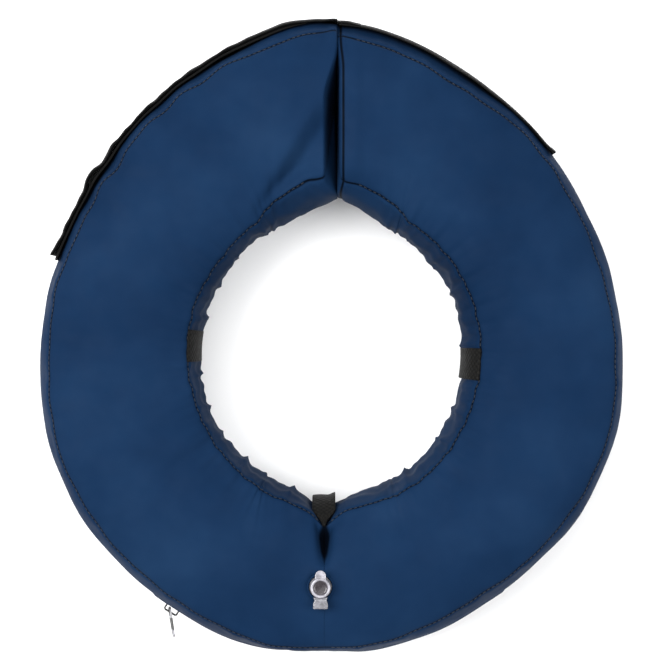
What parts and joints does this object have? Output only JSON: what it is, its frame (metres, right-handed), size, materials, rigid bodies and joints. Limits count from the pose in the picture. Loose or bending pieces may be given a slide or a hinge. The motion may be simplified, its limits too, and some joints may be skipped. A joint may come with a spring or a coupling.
{
  "type": "inflatable pet recovery collar",
  "caption": "Ring-shaped inflatable recovery collar for a dog, with a coated-fabric cover, bladder and valve, zipper, and a hook-and-loop strap over the opening.",
  "frame": {"origin": "on the floor under the centre of the ring's round part, the ring lying on its back face", "axes": "+Z along the neck opening's axis, up through the front face with the valve; +Y from the centre to the opening of the ring; +X to the right seen from the front face"},
  "size_m": [0.354, 0.3831, 0.0879],
  "materials": {
    "cover_vinyl": "satin coated fabric",
    "bladder_film": "clear film",
    "webbing_black": "woven elastic webbing",
    "hook_loop_black": "hook and loop tape",
    "zipper_tape_black": "woven tape",
    "zipper_coil_black": "matte",
    "slider_black": "painted",
    "pull_nickel": "polished",
    "valve_clear": "clear soft vinyl"
  },
  "bodies": {
    "base": {"front_panel_base": "cover_vinyl", "back_panel_base": "cover_vinyl", "outer_band_base": "cover_vinyl", "inner_band_base": "cover_vinyl", "bladder_base": "bladder_film", "collar_loop_base": "webbing_black", "zipper_tapes": "zipper_tape_black", "zipper_coils": "zipper_coil_black", "zipper_stops": "zipper_coil_black"},
    "left_arm": {"front_panel_left": "cover_vinyl", "back_panel_left": "cover_vinyl", "outer_band_left": "cover_vinyl", "inner_band_left": "cover_vinyl", "bladder_left": "bladder_film", "collar_loop_left": "webbing_black", "end_panel_left": "cover_vinyl", "loop_fastener_strip": "hook_loop_black"},
    "right_arm": {"front_panel_right": "cover_vinyl", "back_panel_right": "cover_vinyl", "outer_band_right": "cover_vinyl", "inner_band_right": "cover_vinyl", "bladder_right": "bladder_film", "collar_loop_right": "webbing_black", "end_panel_right": "cover_vinyl", "strap_anchor": "hook_loop_black"},
    "strap": {"closure_strap": "hook_loop_black", "hook_fastener_strip": "hook_loop_black"},
    "zip_slider": {"zip_slider": "slider_black"},
    "zip_pull": {"zip_pull": "pull_nickel"},
    "valve_stem": {"valve_stem": "valve_clear", "valve_flap": "valve_clear", "valve_tether": "valve_clear"},
    "valve_plug": {"valve_plug": "valve_clear"}
  },
  "joints": [
    {"name": "left_arm_open", "type": "hinge", "parent": "base", "child": "left_arm", "pos_m": [-0.10959, -0.14027, 0.0405], "axis": [0, 0, 1], "range_deg": [0, 20]},
    {"name": "right_arm_open", "type": "hinge", "parent": "base", "child": "right_arm", "pos_m": [0.10959, -0.14027, 0.0405], "axis": [0, 0, 1], "range_deg": [-20, 0]},
    {"name": "strap_peel", "type": "hinge", "parent": "right_arm", "child": "strap", "pos_m": [0.0036, 0.2052, 0.0405], "axis": [0, 0, 1], "range_deg": [-100, 0]},
    {"name": "zip_slide", "type": "hinge", "parent": "base", "child": "zip_slider", "pos_m": [0, 0, 0.0405], "axis": [0, 0, 1], "range_deg": [0, 60]},
    {"name": "zip_pull_swing", "type": "hinge", "parent": "zip_slider", "child": "zip_pull", "pos_m": [-0.09655, -0.15451, 0.0405], "axis": [0, 0, 1], "range_deg": [-98, 17]},
    {"name": "valve_push", "type": "slide", "parent": "base", "child": "valve_stem", "axis": [0, 0, -1], "range_m": [0, 0.004]},
    {"name": "plug_pull", "type": "slide", "parent": "valve_stem", "child": "valve_plug", "axis": [0, 0, 1], "range_m": [0, 0.012]}
  ],
  "couplings": [
    {"joint": "right_arm_open", "follows": "left_arm_open", "ratio": -1},
    {"joint": "strap_peel", "follows": "left_arm_open", "ratio": -5}
  ]
}
